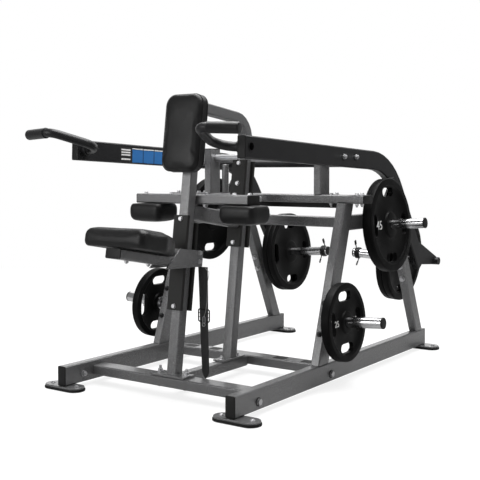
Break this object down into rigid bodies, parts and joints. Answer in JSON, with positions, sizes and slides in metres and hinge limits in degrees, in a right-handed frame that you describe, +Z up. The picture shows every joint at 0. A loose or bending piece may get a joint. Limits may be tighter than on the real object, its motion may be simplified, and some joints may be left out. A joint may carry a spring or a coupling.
{
  "type": "seated dip machine",
  "caption": "Plate-loaded seated dip machine: floor frame, leaning posts with a sliding seat, chest and thigh pads, and a pivoting press with turning handles and loading horns.",
  "frame": {"origin": "middle of the underside of the whole machine, on the floor", "axes": "+Z up, +Y from the seat end to the rear, +X to the right of someone who looks at the seat end"},
  "size_m": [1.4684, 2.1868, 1.2976],
  "materials": {
    "frame_paint": "metallic grey powder coat",
    "arm_paint": "black powder coat",
    "plate_paint": "black enamel",
    "chrome": "polished",
    "zinc": "zinc plated",
    "slide_plastic": "matt black",
    "upholstery": "smooth black vinyl",
    "webbing": "woven"
  },
  "bodies": {
    "frame": {"front_cross_member": "frame_paint", "middle_cross_member": "frame_paint", "centre_beam": "frame_paint", "seat_post": "frame_paint", "rear_post": "frame_paint", "post_link": "frame_paint", "seat_slide_front": "slide_plastic", "seat_slide_rear": "slide_plastic", "rear_slide_front": "slide_plastic", "rear_slide_rear": "slide_plastic", "thigh_pad_bar": "frame_paint", "bearing_beam": "frame_paint", "rear_tie": "frame_paint", "pivot_shaft": "frame_paint", "stop_rod": "frame_paint", "chest_pad": "upholstery", "side_rail_right": "frame_paint", "foot_plate_front_right": "frame_paint", "foot_plate_rear_right": "frame_paint", "front_upright_right": "frame_paint", "rear_upright_right": "frame_paint", "pivot_post_right": "frame_paint", "thigh_pad_right": "upholstery", "storage_horn_right": "chrome", "side_rail_left": "frame_paint", "foot_plate_front_left": "frame_paint", "foot_plate_rear_left": "frame_paint", "front_upright_left": "frame_paint", "rear_upright_left": "frame_paint", "pivot_post_left": "frame_paint", "thigh_pad_left": "upholstery", "storage_horn_left": "chrome"},
    "press": {"torque_tube": "arm_paint", "press_arm_right": "arm_paint", "arm_bearing_right": "frame_paint", "outer_horn_right": "chrome", "inner_horn_right": "chrome", "press_arm_left": "arm_paint", "arm_bearing_left": "frame_paint", "outer_horn_left": "chrome", "inner_horn_left": "chrome"},
    "seat": {"seat_carriage": "frame_paint", "seat_beam": "frame_paint", "seat_pad": "upholstery", "seat_belt": "webbing", "belt_buckle": "zinc"},
    "seat_pin": {"pull_pin": "slide_plastic"},
    "handle_right": {"handle_right": "arm_paint"},
    "outer_plate_right": {"outer_plate_right": "plate_paint"},
    "inner_plates_right": {"inner_plate_1_right": "plate_paint", "inner_plate_2_right": "plate_paint"},
    "clip_right": {"spring_clip_right": "arm_paint"},
    "stored_plate_right": {"stored_plate_right": "plate_paint"},
    "handle_left": {"handle_left": "arm_paint"},
    "outer_plate_left": {"outer_plate_left": "plate_paint"},
    "inner_plates_left": {"inner_plate_1_left": "plate_paint", "inner_plate_2_left": "plate_paint"},
    "clip_left": {"spring_clip_left": "arm_paint"},
    "stored_plate_left": {"stored_plate_left": "plate_paint"}
  },
  "joints": [
    {"name": "press_hinge", "type": "hinge", "parent": "frame", "child": "press", "pos_m": [0, 0.01637, 1.0295], "axis": [1, 0, 0], "range_deg": [0, 25]},
    {"name": "seat_height", "type": "slide", "parent": "frame", "child": "seat", "axis": [0, 0.1305, 0.9914], "range_m": [-0.14, 0.09], "deforming": ["seat_belt"]},
    {"name": "pin_pull", "type": "slide", "parent": "seat", "child": "seat_pin", "axis": [0, 0.9914, -0.1305], "range_m": [0, 0.012], "stiffness_N_per_m": 500, "springref_m": -0.004},
    {"name": "handle_turn_right", "type": "hinge", "parent": "press", "child": "handle_right", "pos_m": [0.44625, -0.80163, 1.057], "axis": [1, 0, 0], "range_deg": [-30, 60]},
    {"name": "outer_plate_slide_right", "type": "slide", "parent": "press", "child": "outer_plate_right", "axis": [0.9966, 0, 0.0819], "range_m": [0, 0.16]},
    {"name": "inner_plates_slide_right", "type": "slide", "parent": "press", "child": "inner_plates_right", "axis": [-0.9978, 0, 0.0663], "range_m": [0, 0.085]},
    {"name": "clip_slide_right", "type": "slide", "parent": "press", "child": "clip_right", "axis": [0.9978, 0, -0.0663], "range_m": [0, 0.085]},
    {"name": "stored_plate_slide_right", "type": "slide", "parent": "frame", "child": "stored_plate_right", "axis": [0.9978, 0, 0.0663], "range_m": [0, 0.16]},
    {"name": "handle_turn_left", "type": "hinge", "parent": "press", "child": "handle_left", "pos_m": [-0.44625, -0.80163, 1.057], "axis": [1, 0, 0], "range_deg": [-30, 60]},
    {"name": "outer_plate_slide_left", "type": "slide", "parent": "press", "child": "outer_plate_left", "axis": [-0.9966, 0, 0.0819], "range_m": [0, 0.16]},
    {"name": "inner_plates_slide_left", "type": "slide", "parent": "press", "child": "inner_plates_left", "axis": [0.9978, 0, 0.0663], "range_m": [0, 0.085]},
    {"name": "clip_slide_left", "type": "slide", "parent": "press", "child": "clip_left", "axis": [-0.9978, 0, -0.0663], "range_m": [0, 0.085]},
    {"name": "stored_plate_slide_left", "type": "slide", "parent": "frame", "child": "stored_plate_left", "axis": [-0.9978, 0, 0.0663], "range_m": [0, 0.16]}
  ]
}
